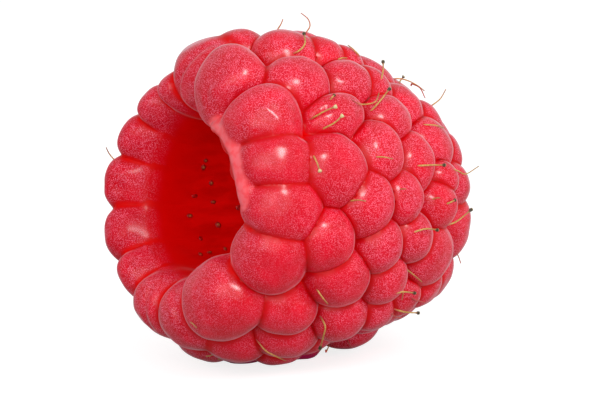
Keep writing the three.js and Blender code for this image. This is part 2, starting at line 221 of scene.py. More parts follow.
# Each style's (u, turn, radius) places from foot to tip, its knob, and how red it still is.
# Most of these places, and of the slight styles', were worked out by another program.
STYLES = [
    ([(7.28, 0.1, 10.52), (7.65, 1.4, 11.01), (7.45, 1.7, 11.41), (7.03, 3, 11.7)], PLAIN, 0.6),
    ([(3.91, 337.6, 9.74), (4.15, 336.3, 10.2), (4.51, 338, 10.59), (4.82, 342.8, 10.9)], DARK, 0),
    ([(4.2, 352.7, 10.45), (4.25, 352.2, 10.8), (4.32, 352.4, 11.12)], PLAIN, 0.5),
    ([(7.05, 336.3, 10.07), (7.25, 335.7, 10.31), (7.69, 336.3, 10.33)], PLAIN, 0),
    ([(9.08, 340.6, 10.33), (8.58, 340.9, 10.63), (8.69, 345.7, 10.61)], PLAIN, 0.2),
    ([(9.33, 325.1, 9.97), (9.86, 330.6, 10.41), (10.23, 335.6, 10.69)], DARK, 0.1),
    ([(6.17, 312.9, 10.29), (6.55, 311, 10.46), (7.89, 314.9, 9.9),
      (8.31, 315.7, 10.11), (8.99, 320.9, 9.99)], PLAIN, 0),
    ([(8.12, 313.2, 9.21), (8.55, 315.6, 10.09), (9.42, 320.6, 10.58)], DARK, 0),
    ([(13.65, 347.2, 8.87), (14.1, 350.4, 9), (14.19, 350, 9.29)], DARK, 0.2),
    ([(14.8, 348.5, 8.95), (14.74, 342.3, 9.04), (14.62, 335.8, 8.83)], PLAIN, 0.9),
    ([(14.88, 332.1, 8.64), (15.44, 333.5, 9.14), (15.6, 334.3, 9.83)], PLAIN, 0.2),
    ([(3.6, 306.3, 9.14), (3.91, 306.5, 10.16), (4.5, 307.5, 10.61)], PALE, 0),
    ([(4.07, 301.9, 9.23), (4.45, 302.5, 10.15), (4.85, 304.6, 10.61)], PALE, 0),
    ([(3.21, 290.9, 9.43), (3.1, 287.3, 9.97), (3.17, 284.1, 10.21)], PALE, 0),
    ([(7.57, 293.5, 9.87), (7.79, 292.8, 10.45), (8.32, 292.3, 10.64)], PLAIN, 0),
    ([(12.79, 317, 8.66), (13.51, 315.2, 9.17), (14.51, 316, 8.97)], PLAIN, 0),
    ([(10.96, 294.1, 9.41), (11.89, 294.6, 9.81), (13.09, 295.7, 9.82)], DARK, 0),
    ([(14.18, 298.5, 8.66), (15.28, 298.4, 8.48), (16.49, 300.1, 7.84), (17.73, 305.7, 7.82)], PLAIN, 0),
    ([(6.05, 276.6, 9.47), (6.13, 277.1, 10.23), (6.41, 277, 10.65)], PLAIN, 0),
    ([(9.59, 283.9, 9.74), (9.46, 283.6, 10.18), (9.53, 283.5, 10.39)], PLAIN, 0.2),
    ([(12.94, 283.4, 8.61), (12.92, 283.9, 9.1), (13.05, 283.9, 9.33)], PLAIN, 0),
    ([(13.92, 282.6, 8.86), (14.1, 283.4, 9.12), (14.47, 284.6, 9.05)], DARK, 0),
    ([(14.7, 274.6, 8.21), (15.64, 277.2, 7.97), (16.74, 283.7, 7.97)], DARK, 0),
    ([(11, 268.6, 9.38), (11.84, 271.5, 9.75), (12.95, 271.9, 9.61)], DARK, 0),
    ([(11.71, 255, 9.19), (12.83, 252.1, 8.76), (13.56, 250, 8.86)], PLAIN, 0.1),
    ([(10.82, 245.8, 9.83), (11.91, 246.7, 9.57), (13.22, 245.6, 9.12)], DARK, 0),
    ([(11.41, 249.6, 9.69), (12.41, 244.8, 9.01), (12.35, 242.5, 9.34)], PLAIN, 0.1),
    ([(12.55, 236.1, 8.96), (13.25, 236.6, 9.19), (14.41, 236.6, 9.07)], DARK, 0),
    ([(5.59, 242.7, 9.6), (5.87, 241.5, 10.15), (6.43, 239.6, 10.3)], PLAIN, 0),
    ([(7.44, 228.6, 9.14), (7.64, 228.1, 9.98), (8.13, 222.4, 10.1), (8.54, 217, 10.27)], DARK, 0),
    ([(4.66, 209.9, 9.44), (5.21, 210.6, 10.26), (6, 210.1, 10.51), (7.49, 205.4, 10.39)], PLAIN, 0.1),
    ([(0.41, 205.4, 8.73), (0.29, 208.9, 9.16), (0.33, 210.1, 9.42)], PLAIN, 0.2),
    ([(10.45, 206.9, 9.54), (11, 204.1, 9.09), (11.5, 200.7, 8.73)], PLAIN, 0),
    ([(17.94, 259.4, 5.73), (18.47, 256.2, 5.43), (18.52, 253.4, 5.78)], PLAIN, 0.7),
]

# Short ones between the others, too slight to be solids of their own.
SLIGHT_STYLES = [
    ([(4.69, 312.4, 10), (4.67, 312.5, 10.28), (4.82, 313.3, 10.34)], DARK, 0),
    ([(0.45, 87.4, 7.95), (0.05, 85, 8.15), (-0.4, 82.3, 8)], PLAIN, 0.3),
    ([(13.27, 197.7, 8), (13.27, 199.1, 8.38), (13.72, 197.3, 8.54)], PLAIN, 1),
    ([(13.27, 242.4, 8.84), (13.65, 242.2, 9.02), (14.76, 240.3, 8.7)], PLAIN, 1),
    ([(12.3, 235.1, 9.2), (12.77, 234, 9.3), (13.2, 233.8, 9.25)], PLAIN, 1),
    ([(4.13, 184.5, 10.17), (3.94, 187.8, 10.15), (3.67, 192.3, 10.1)], PLAIN, 0),
    ([(4.96, 185.2, 10.25), (4.64, 189.5, 10.22), (4.32, 193.7, 10.2)], PLAIN, 0),
]

# u, first turn, last turn, count.
STYLE_RINGS = [
    (6.2, 14, 140, 6), (9.7, 20, 145, 6), (13.1, 350, 500, 6), (16.3, 5, 140, 4),
]


def by_detail(full):
    return full


def turn_between(turn, other):
    return (turn - other + 180) % 360 - 180


def dome_radius(u):
    u = np.asarray(u, float)
    rise = np.clip(1 - (np.maximum(WAIST - u, 0) / WAIST) ** RIM_CURVE, 0, 1)
    fall = np.clip(1 - (np.clip(u - WAIST, 0, None) / (LENGTH - WAIST)) ** TIP_CURVE, 0, 1)
    near_rim = CREST_RADIUS + (WAIST_RADIUS - CREST_RADIUS) * np.sqrt(rise)
    return np.where(u < WAIST, near_rim, WAIST_RADIUS * fall ** (1 / TIP_CURVE))


def surface_radius(u, turn):
    share = 1.0
    for extra, at_turn, turn_spread, at_u, u_spread in UNEVENNESS:
        aside = turn_between(turn, at_turn) / turn_spread
        away = (u - at_u) / u_spread
        share = share + extra * np.exp(-aside * aside - away * away)
    return dome_radius(u) * share


def about_axis(u, radius, turn):
    angle = np.radians(turn)
    return np.stack(np.broadcast_arrays(u, radius * np.sin(angle), radius * np.cos(angle)), -1)


def line_through(places):
    """(u, turn, radius) places as a line of points."""
    return np.array([about_axis(u, radius, turn) for u, turn, radius in places])


def radius_of(points):
    return np.hypot(points[:, 1], points[:, 2])


def turn_of(points):
    return np.degrees(np.arctan2(points[:, 1], points[:, 2]))


def dome_frame(u, turn):
    """A place on the dome, with its directions to the tip, up the turn, and out."""
    step = 0.05
    low = min(u, LENGTH - 3 * step)
    at = about_axis(u, surface_radius(u, turn), turn)
    along = (about_axis(low + step, surface_radius(low + step, turn), turn)
             - about_axis(low - step, surface_radius(low - step, turn), turn))
    along /= np.linalg.norm(along)
    angle = math.radians(turn)
    across = np.array([0, math.cos(angle), -math.sin(angle)])
    out = np.cross(along, across)
    return at, along, across, out / np.linalg.norm(out)


def fullness(level, side, power=DRUPELET_FULLNESS):
    return (np.abs(level) ** power + np.abs(side) ** power) ** (1 / power)


def turned_about(vector, axis, degrees):
    """A vector at right angles to the axis, turned about it."""
    angle = math.radians(degrees)
    return vector * math.cos(angle) + np.cross(axis, vector) * math.sin(angle)


class Drupelet:
    """Round from above, full at its top, and tucked under the dome."""

    def __init__(self, u, turn, width, length, roll=0):
        at, along, across, self.out = dome_frame(u, turn)
        self.along = turned_about(along, self.out, roll)
        self.across = turned_about(across, self.out, roll)
        self.centre = at - self.out * DRUPELET_DEPTH
        self.sizes = np.array([0.5 * length * ALONG_OVERLAP, 0.5 * width * ACROSS_OVERLAP, DRUPELET_DEPTH])

    def place(self, ball):
        scale = 1 / fullness(ball[:, 2], np.hypot(ball[:, 0], ball[:, 1]))
        moved = ball * scale[:, None] * self.sizes
        axes = np.stack([self.along, self.across, self.out])
        return self.centre + moved @ axes

    def level(self, points):
        """Below 1 inside, 1 on the skin, and above 1 outside."""
        axes = np.stack([self.along, self.across, self.out], 1)
        inside = (points - self.centre) @ axes / self.sizes
        return fullness(inside[:, 2], np.hypot(inside[:, 0], inside[:, 1]))


class Lobe:
    """A drupelet of the rim: it curls over the crest and narrows towards the mouth."""

    def __init__(self, turn, half_angle, from_u, to_u, inner_radius, outer_radius):
        self.turn = turn
        self.half_angle = half_angle
        self.half_length = 0.5 * (to_u - from_u)
        self.middle = 0.5 * (to_u + from_u)
        self.radius = 0.5 * (outer_radius + inner_radius)
        self.half_depth = 0.5 * (outer_radius - inner_radius)
        self.centre = about_axis(self.middle, self.radius, turn)
        self.along = np.array([1.0, 0, 0])

    def place(self, ball):
        scale = 1 / fullness(ball[:, 1], np.hypot(ball[:, 0], ball[:, 2]), LOBE_FULLNESS)
        moved = ball * scale[:, None]
        return about_axis(self.middle + moved[:, 0] * self.half_length,
                          self.radius + moved[:, 2] * self.half_depth,
                          self.turn + moved[:, 1] * self.half_angle)

    def level(self, points):
        ahead = (points[:, 0] - self.middle) / self.half_length
        side = np.hypot(ahead, (radius_of(points) - self.radius) / self.half_depth)
        return fullness(turn_between(turn_of(points), self.turn) / self.half_angle, side, LOBE_FULLNESS)


def stray(number, kind):
    """A steady, uneven value from -1 to 1 for a drupelet's number."""
    wave = math.sin(number * 12.9898 + kind * 78.233) * 43758.5453
    return 2 * (wave - math.floor(wave)) - 1


def ring_drupelets():
    found = []
    for u, first, last, count, size in DRUPELET_RINGS:
        for i in range(count):
            number = len(found) + 1
            share = i / (count - 1) if count > 1 else 0
            loose = 1 if count > 1 else 0
            found.append((
                u + loose * RING_WANDER[0] * stray(number, 1),
                first + share * (last - first) + loose * RING_WANDER[1] * stray(number, 2),
                size + RING_WANDER[2] * stray(number, 3),
                size + RING_WANDER[2] * stray(number, 4),
            ))
    return found


drupelets = [Drupelet(*row) for row in UNEVEN_DRUPELETS + ring_drupelets()]
drupelets += [Drupelet(u, turn, size, size) for u, turn, size in TIP_DRUPELETS]
lobes = [Lobe(*row) for row in RIM_LOBES]

# The berry's own axes in the row frame: tipped so that the tip hangs low.
TO_ROW = Matrix.Translation(Vector(AXIS_START) * MM) @ Matrix.Rotation(math.radians(TIP_DROOP), 4, "Y")


def to_row(points):
    """Points in the berry's millimetres, as metres in the row frame."""
    turn = np.array(TO_ROW.to_3x3())
    return (points * MM) @ turn.T + np.array(TO_ROW.translation)


# ---- Meshes ----

def new_object(name, data, link=True):
    made = bpy.data.objects.new(name, data)
    if link:
        bpy.context.scene.collection.objects.link(made)
    return made


def new_mesh_object(name, points, faces, link=True):
    mesh = bpy.data.meshes.new(name)
    mesh.from_pydata(np.asarray(points, float).tolist(), [], faces)
    return new_object(name, mesh, link)


def unit_ball(subdivisions):
    shape = bmesh.new()
    bmesh.ops.create_icosphere(shape, subdivisions=subdivisions, radius=1)
    points = np.array([v.co[:] for v in shape.verts])
    faces = [[v.index for v in f.verts] for f in shape.faces]
    shape.free()
    return points / np.linalg.norm(points, axis=1)[:, None], faces


def smooth_line(points, steps):
    """Places evenly along a rounded line through the points, and how far along each one is."""
    before = 2 * points[0] - points[1]
    after = 2 * points[-1] - points[-2]
    held = np.vstack([before, points, after])
    found = []
    for i in range(len(points) - 1):
        a, b, c, d = held[i:i + 4]
        for t in np.linspace(0, 1, 12, endpoint=False):
            swing = 2 * b + (c - a) * t + (2 * a - 5 * b + 4 * c - d) * t * t
            found.append(0.5 * (swing + (3 * b - a - 3 * c + d) * t ** 3))
    found = np.array(found + [points[-1]])
    run = np.concatenate([[0], np.cumsum(np.linalg.norm(np.diff(found, axis=0), axis=1))])
    wanted = np.linspace(0, run[-1], steps + 1)
    line = np.stack([np.interp(wanted, run, found[:, k]) for k in range(3)], 1)
    return line, wanted / run[-1]


def tube(line, radii, sides=9):
    """A round tube along the line with closed ends, as points and faces."""
    ahead = np.gradient(line, axis=0)
    ahead /= np.linalg.norm(ahead, axis=1)[:, None]
    side = np.cross(ahead[0], [0.3, 0.2, 0.9])
    points = []
    for at, along, radius in zip(line, ahead, radii):
        side = side - along * side.dot(along)
        side /= np.linalg.norm(side)
        up = np.cross(along, side)
        for k in range(sides):
            angle = 2 * math.pi * k / sides
            points.append(at + radius * (math.cos(angle) * side + math.sin(angle) * up))
    faces = []
    for i in range(len(line) - 1):
        for k in range(sides):
            here, there = i * sides, (i + 1) * sides
            ahead_k = (k + 1) % sides
            faces.append((here + k, here + ahead_k, there + ahead_k, there + k))
    faces.append(tuple(range(sides))[::-1])
    faces.append(tuple(range((len(line) - 1) * sides, len(line) * sides)))
    return points, faces


def turned_shape(name, profile, segments):
    """A closed shape turned about the berry's axis from [u, radius] pairs that start and end on it."""
    points = [(profile[0][0], 0, 0)]
    for u, radius in profile[1:-1]:
        for j in range(segments):
            points.append(tuple(about_axis(u, radius, 360 * j / segments)))
    points.append((profile[-1][0], 0, 0))
    faces = []
    rings = len(profile) - 2
    last = len(points) - 1
    for j in range(segments):
        ahead = (j + 1) % segments
        faces.append((0, 1 + j, 1 + ahead))
        for i in range(rings - 1):
            here, there = 1 + i * segments, 1 + (i + 1) * segments
            faces.append((here + j, there + j, there + ahead, here + ahead))
        base = 1 + (rings - 1) * segments
        faces.append((last, base + ahead, base + j))
    return new_mesh_object(name, points, faces)


class TornLip:
    """A ragged thin edge that follows the near lobes round the mouth, wide enough to join them."""

    def __init__(self, rows):
        self.lines = []
        for back in TORN_LIP_BANDS:
            places = [(u + LIP_SLANT * back, turn, radius + back) for u, turn, radius, _ in rows]
            line, share = smooth_line(line_through(places), LIP_STEPS)
            self.lines.append(line)
        thick = np.interp(share, np.linspace(0, 1, len(rows)), [row[3] for row in rows])
        ragged = np.array([stray(i, 5) for i in range(len(line))])
        self.radii = thick * (1 + 0.08 * ragged)
        self.radii[[0, -1]] *= 0.3

    def edge_level(self, points, strands=1):
        return np.min([np.linalg.norm(points - at, axis=1) / radius
                       for line in self.lines[:strands] for at, radius in zip(line, self.radii)], axis=0)

    def level(self, points):
        return self.edge_level(points, len(self.lines))


lip = TornLip(TORN_LIP)
skin_shapes = drupelets + lobes + [lip]


def core_profile():
    """The flesh behind the drupelets, with a rounded edge between the lobes at the mouth."""
    start = HOLLOW_FROM + 0.6
    end = LENGTH - SKIN_TO_CORE
    steps = 12
    ring = [(start + (end - start) * i / steps) for i in range(1, steps)]
    return ([(start, 0), (2.2, 5.3)] + MOUTH_EDGE
            + [(u, float(dome_radius(u)) - SKIN_TO_CORE) for u in ring] + [(end, 0)])


def hollow_profile():
    steps = by_detail(50)
    profile = [(-1, 0), (-1, HOLLOW_RADIUS + 0.4)]
    for i in range(steps):
        share = math.sin(0.5 * math.pi * i / steps)
        radius = HOLLOW_RADIUS * (1 - share ** HOLLOW_CURVE[0]) ** HOLLOW_CURVE[1]
        profile.append((HOLLOW_FROM + (HOLLOW_TO - HOLLOW_FROM) * share, radius))
    return profile + [(HOLLOW_TO, 0)]


def boolean(piece, operation, operand):
    """Joins or cuts piece with an object or a collection of objects, and drops them."""
    change = piece.modifiers.new(operation, "BOOLEAN")
    change.operation = operation
    change.solver = "MANIFOLD"
    many = isinstance(operand, bpy.types.Collection)
    if many:
        change.operand_type = "COLLECTION"
        change.collection = operand
    else:
        change.object = operand
    graph = bpy.context.evaluated_depsgraph_get()
    changed = bpy.data.meshes.new_from_object(piece.evaluated_get(graph))
    piece.modifiers.clear()
    piece.data = changed
    for used in list(operand.objects) if many else [operand]:
        bpy.data.objects.remove(used)
    if many:
        bpy.data.collections.remove(operand)


def shapes_collection(name, shapes, ball, faces):
    group = bpy.data.collections.new(name)
    bpy.context.scene.collection.children.link(group)
    for i, shape in enumerate(shapes):
        group.objects.link(new_mesh_object(f"{name}_{i}", shape.place(ball), faces, link=False))
    return group


def surface_below():
    """Everything under the surface that the berry rests on, in the berry's own axes."""
    shape = bmesh.new()
    bmesh.ops.create_cube(shape, size=1)
    width, depth = 60, 20
    size = Matrix.Diagonal((width, width, depth, 1))
    to_berry = Matrix.Rotation(math.radians(-TIP_DROOP), 4, "Y") @ Matrix.Translation(-Vector(AXIS_START))
    below = to_berry @ Matrix.Translation((0, 0, -depth / 2)) @ size
    bmesh.ops.transform(shape, matrix=below, verts=shape.verts)
    mesh = bpy.data.meshes.new("surface_below")
    shape.to_mesh(mesh)
    shape.free()
    return new_object("surface_below", mesh)


def build_berry():
    ball, faces = unit_ball(by_detail(5))
    berry = turned_shape("berry_skin", core_profile(), by_detail(110))
    boolean(berry, "UNION", shapes_collection("drupelet", drupelets, ball, faces))
    boolean(berry, "DIFFERENCE", turned_shape("hollow", hollow_profile(), by_detail(150)))
    boolean(berry, "UNION", shapes_collection("lobe", lobes, ball, faces))
    for line in lip.lines:
        boolean(berry, "UNION", new_mesh_object("torn_lip", *tube(line, lip.radii, 14)))
    boolean(berry, "DIFFERENCE", surface_below())
    return berry


def triangulated(mesh):
    shape = bmesh.new()
    shape.from_mesh(mesh)
    bmesh.ops.triangulate(shape, faces=shape.faces)
    shape.to_mesh(mesh)
    shape.free()


def read_all(items, name, width, kind=np.float32):
    """One property of all the points, edges or corners of a mesh, in rows."""
    found = np.empty(len(items) * width, kind)
    items.foreach_get(name, found)
    return found.reshape(-1, width)


def mesh_points(mesh):
    return read_all(mesh.vertices, "co", 3).astype(float)


def mesh_triangles(mesh):
    return read_all(mesh.loops, "vertex_index", 1, np.int32).reshape(-1, 3)


def add_attribute(mesh, name, values, domain="POINT"):
    layer = mesh.attributes.new(name, "FLOAT", domain)
    layer.data.foreach_set("value", np.asarray(values, np.float32))


def distance_to(points, u, radius, turn):
    return np.linalg.norm(points - about_axis(u, radius, turn), axis=1)


def distance_to_line(points, places):
    line, _ = smooth_line(line_through(places), 40)
    return np.min([np.linalg.norm(points - at, axis=1) for at in line], axis=0)


def fade(distance, spread):
    """1 at a place, and next to nothing two spreads away from it."""
    return np.exp(-(distance / spread) ** 2)


def smooth_step(values, low, high):
    share = np.clip((values - low) / (high - low), 0, 1)
    return share * share * (3 - 2 * share)


def zone_share(points, zone):
    """1 well inside a zone of the skin, and 0 outside it."""
    under_dome = dome_radius(np.clip(points[:, 0], 0, LENGTH)) - radius_of(points)
    share = smooth_step(under_dome, *zone[0])
    for step in zone[1:]:
        share = share * smooth_step(points[:, 0], *step)
    return share


def inside_lip(points):
    """1 within the torn lip, where the near lobes' ends face the hollow."""
    turns, radii = zip(*sorted((turn, radius) for _, turn, radius, _ in TORN_LIP))
    turn = turn_of(points) % 360
    share = smooth_step(np.interp(turn, turns, radii) - radius_of(points), 0, 0.4)
    for step in LIP_TURNS:
        share = share * smooth_step(turn, *step)
    return share * smooth_step(points[:, 0], 3, 1.8)


def melt(points, corners, share, rounds, second_reach=-0.5):
    """Draws points to their neighbours by their share; below 0, the second reach pushes them back."""
    ends = np.concatenate([corners[:, [0, 1]], corners[:, [1, 2]], corners[:, [2, 0]]])
    count = np.bincount(ends.ravel(), minlength=len(points))
    for i in range(rounds):
        total = np.stack([np.bincount(ends[:, 0], points[ends[:, 1], k], len(points))
                          + np.bincount(ends[:, 1], points[ends[:, 0], k], len(points)) for k in range(3)], 1)
        reach = 0.6 if i % 2 == 0 else second_reach
        points = points + (reach * share)[:, None] * (total / count[:, None] - points)
    return points


def soften_skin(mesh, points):
    """Presses in the dimples and folds, and makes every drupelet a little uneven."""
    normals = read_all(mesh.vertices, "normal", 3)
    sunk = np.zeros(len(points))
    for u, turn, radius, spread, depth in DIMPLES:
        sunk += depth * fade(distance_to(points, u, radius, turn), spread)
    for places, spread, depth in FOLDS:
        sunk += depth * fade(distance_to_line(points, places), spread)
    waves = np.array([
        sum(share * noise.noise(Vector(at) * scale) for scale, share in WAVES) for at in points])
    return points - normals * (sunk + SKIN_WAVE * waves)[:, None]


def crease_marks(points, levels, gap, in_hollow):
    """Masks for the creases and the drupelets' flanks on the rim's side, where the skin gets painted shade,
    and for the grooves inside the mouth, where it gets painted light.
    """
    off_lip = levels[-1] > 1.1
    nearest = np.abs(levels[:-1] - 1).argmin(0)
    centres = np.array([shape.centre for shape in skin_shapes[:-1]])
    alongs = np.array([shape.along for shape in skin_shapes[:-1]])
    to_rim = -((points - centres[nearest]) * alongs[nearest]).sum(1)
    lobe_levels = np.sort(levels[len(drupelets):-1], 0)
    between_lobes = np.clip(1 - (lobe_levels[1] - lobe_levels[0]) / INNER_CREASE_WIDTH, 0, 1)
    return {
        "crease": np.clip(1 - gap / CREASE_WIDTH, 0, 1) * off_lip * (1 - in_hollow),
        "flank": smooth_step(1 - gap / FLANK_WIDTH, 0, 1) * smooth_step(to_rim, -0.2, 1.2) * off_lip,
        "inner_crease": between_lobes * zone_share(points, INNER_RIM_ZONE),
    }


def place_marks(points, in_hollow):
    """The hollow and how deep it is, the worn patches, the dull rim and the torn lip."""
    *rim, rim_spread = DULL_RIM
    return {
        "hollow": in_hollow,
        "depth": points[:, 0] / HOLLOW_TO,
        "worn": np.max([fade(distance_to(points, *place), spread) for *place, spread in WORN_PATCHES], 0),
        "dull": fade(distance_to(points, *rim), rim_spread),
        "lip": np.clip(2.2 - lip.edge_level(points, 2), 0, 1),
    }


def mark_drupelets(mesh, points, corners):
    """Tints each drupelet's own part of the skin, and gives the number of each face's drupelet."""
    middles = points[corners].mean(1)
    owners = np.abs(np.stack([shape.level(middles) for shape in skin_shapes]) - 1).argmin(0)
    tint = np.array([stray(i, 7) for i in range(len(skin_shapes))])
    add_attribute(mesh, "tint", 0.5 + 0.5 * tint[owners], "FACE")
    return owners


def shaped_skin(mesh, points, corners, levels, gap, melted):
    """The skin with its dimples and folds, melted at the mouth, and with shallow creases at the rim."""
    off_lip = np.clip(levels[-1] - 2, 0, 1)
    shaped = melt(soften_skin(mesh, points), corners, melted, by_detail(90))
    shaped = melt(shaped, corners, zone_share(points, MOUTH_ZONE) * off_lip, by_detail(32), 0.4)
    shallow = zone_share(points, OUTER_RIM_ZONE) * off_lip
    shallow = shallow * smooth_step(1 - gap / SHALLOW_CREASE_WIDTH, 0, 0.8)
    return melt(shaped, corners, shallow, by_detail(4), 0.5)


def finish_berry(berry):
    """Marks the parts of the skin, shapes it, and lays the berry on its surface."""
    mesh = berry.data
    mesh.materials.clear()
    triangulated(mesh)
    mesh.update()
    points = mesh_points(mesh)
    corners = mesh_triangles(mesh)
    levels = np.stack([shape.level(points) for shape in skin_shapes])
    nearest, next_nearest = np.sort(levels, 0)[:2]
    gap = next_nearest - nearest  # nought where two drupelets meet
    in_hollow = np.maximum(zone_share(points, HOLLOW_ZONE), inside_lip(points))
    melted = np.maximum(smooth_step(in_hollow, 0.05, 0.7), np.clip(2 - levels[-1], 0, 1))
    marks = crease_marks(points, levels, gap, in_hollow) | place_marks(points, in_hollow)
    for name, values in marks.items():
        add_attribute(mesh, name, values)
    mark_edges(mesh, corners, mark_drupelets(mesh, points, corners), melted)
    placed = to_row(shaped_skin(mesh, points, corners, levels, gap, melted))
    placed[:, 2] = np.where(placed[:, 2] < 0.02 * MM, 0, placed[:, 2])
    add_attribute(mesh, "pressed", np.clip(1 - placed[:, 2] / (0.7 * MM), 0, 1))
    mesh.vertices.foreach_set("co", placed.astype(np.float32).ravel())
    mesh.update()


def mark_edges(mesh, corners, owners, melted):
    """Smooth within a drupelet and where the flesh is melted, and sharp along the creases."""
    mesh.shade_smooth()
    edges = np.sort(np.stack([corners, np.roll(corners, -1, 1)], -1).reshape(-1, 2), 1)
    face_of = np.repeat(np.arange(len(corners)), 3)
    order = np.lexsort((edges[:, 1], edges[:, 0]))
    pairs = order.reshape(-1, 2)
    crosses = owners[face_of[pairs[:, 0]]] != owners[face_of[pairs[:, 1]]]
    crosses &= melted[edges[pairs[:, 0], 0]] < 0.3
    ends = {tuple(e) for e in edges[pairs[crosses, 0]]}
    found = np.sort(read_all(mesh.edges, "vertices", 2, np.int32), 1)
    sharp = np.array([tuple(e) in ends for e in found.tolist()])
    layer = mesh.attributes.new("sharp_edge", "BOOLEAN", "EDGE")
    layer.data.foreach_set("value", sharp)


berry = build_berry()
finish_berry(berry)


def hollow_wall(skin, u, turn):
    """The place on the hollow's wall straight out from the axis, and the way that it faces."""
    start, ahead = to_row(about_axis(u, np.array([0, 1.0]), turn))
    at, facing, _, _ = skin.ray_cast(Vector(start), Vector(ahead - start))
    return np.array(at), np.array(facing)


def build_vein_dots():
    """Small raised dots all round the hollow's wall, three of four with a dry middle."""
    places = list(VEIN_DOTS)
    for u, count, first, last in VEIN_DOT_ROWS:
        for i in range(count):
            number = len(places)
            turn = first + (last - first) * i / (count - 1)
            places.append((u + 0.35 * stray(number, 1), turn + 5 * stray(number, 2)))
    skin = BVHTree.FromPolygons(mesh_points(berry.data).tolist(), mesh_triangles(berry.data).tolist())
    ball, ball_faces = unit_ball(2)
    points, faces, middle = [], [], []
    for number, (u, turn) in enumerate(places):
        at, inward = hollow_wall(skin, u, turn)
        across = np.cross(inward, [0, 0, 1.0])
        across /= np.linalg.norm(across)
        along = np.cross(across, inward)
        wide = VEIN_DOT_SIZE[0] * (1 + 0.3 * stray(number, 3))
        long = VEIN_DOT_SIZE[0] * (1 + 0.3 * stray(number, 4))
        faces += [[k + len(points) * len(ball) for k in face] for face in ball_faces]
        points.append(at + MM * ball @ np.stack([along * long, across * wide, inward * VEIN_DOT_SIZE[1]]))
        middle.append(np.clip(1 - np.hypot(ball[:, 0], ball[:, 1]) / 0.75, 0, 1) * (number % 4 < 3))
    dots = new_mesh_object("raspberry_vein_dots", np.concatenate(points), faces)
    dots.data.shade_smooth()
    add_attribute(dots.data, "middle", np.concatenate(middle))
    return dots


vein_dots = build_vein_dots()


# ---- The dried styles ----

def skin_heights(places):
    """How far out of the dome the skin lies at each (u, turn), found by coming in from outside."""
    heights = np.arange(0.8, -SKIN_TO_CORE, -0.02)
    frames = [dome_frame(u, turn) for u, turn in places]
    points = np.array([[at + out * height for height in heights] for at, _, _, out in frames])
    flat = points.reshape(-1, 3)
    held = np.zeros(len(flat), bool)
    for shape in drupelets + lobes:
        held |= shape.level(flat) < 1
    held = held.reshape(len(frames), -1)
    return np.where(held.any(1), heights[held.argmax(1)], -SKIN_TO_CORE)


def style_path(u, turn, heading, length, rise):
    """The line that a style follows, from its foot in the skin up and over its neighbours."""
    samples = 6
    places = []
    for i in range(samples + 1):
        share = i / samples
        reach = length * share * share * (1.5 - 0.5 * share)
        place_u = u + reach * math.cos(math.radians(heading))
        arc = reach * math.sin(math.radians(heading)) / float(surface_radius(place_u, turn))
        places.append((place_u, turn + math.degrees(arc)))
    heights = skin_heights(places)
    foot = heights[0] - STYLE_ROOT
    lifts = [math.sin(0.5 * math.pi * i / samples) for i in range(samples + 1)]
    needed = [height + STYLE_CLEARANCE + STYLE_RADIUS - foot for height in heights]
    climb = max([rise] + [need / lift for need, lift in list(zip(needed, lifts))[2:]])
    frames = [dome_frame(*place) for place in places]
    return np.array([at + out * (foot + climb * lift) for (at, _, _, out), lift in zip(frames, lifts)])


def ring_styles():
    found = []
    for u, first, last, count in STYLE_RINGS:
        for i in range(count):
            number = len(STYLES) + len(found)
            found.append((
                u + 0.3 * stray(number, 1),
                first + (last - first) * i / (count - 1) + 3 * stray(number, 2),
                math.floor(60 * stray(number, 3) + 0.5),
                1.8 + 0.6 * stray(number, 4),
                0.9,
                i % 2,
            ))
    return found


def build_style(name, line, knob, redness):
    """A bristle that thins from its foot, bends a little, and often ends in a dry knob."""
    line, share = smooth_line(line, 28)
    radii = (STYLE_RADIUS if knob else PLAIN_STYLE_RADIUS) * (1.08 - 0.42 * share)
    if knob:
        swell = np.clip((share - KNOB_START) / 0.13, 0, 0.94)
        radii = radii + KNOB_SWELL[knob] * np.sin(0.5 * math.pi * swell / 0.8) ** 1.5
    points, faces = tube(line, radii)
    piece = new_mesh_object(name, to_row(np.array(points)), faces)
    piece.data.shade_smooth()
    add_attribute(piece.data, "along_style", np.repeat(share, len(points) // len(share)))
    for mark, value in (("knob", knob > 0), ("pale_knob", knob == PALE), ("redness", redness)):
        add_attribute(piece.data, mark, np.full(len(points), float(value)))
    return piece


def placed_line(places):
    """A style's line, with its foot drawn down into the skin."""
    u, turn, radius = places[0]
    return line_through([(u, turn, radius - STYLE_ROOT)] + places)


def all_styles():
    """Each style's name, line, knob and redness; the ones with a solid come first."""
    found = [(placed_line(places), knob, redness) for places, knob, redness in STYLES]
    for i, (*shape, knob) in enumerate(ring_styles()):
        found.append((style_path(*shape), knob, 0.4 * abs(stray(i, 9))))
    named = [(f"raspberry_style_{i:02d}", *row) for i, row in enumerate(found, 1)]
    for i, (places, knob, redness) in enumerate(SLIGHT_STYLES, 1):
        named.append((f"raspberry_slight_style_{i:02d}", placed_line(places), knob, redness))
    return named


# ---- Materials ----

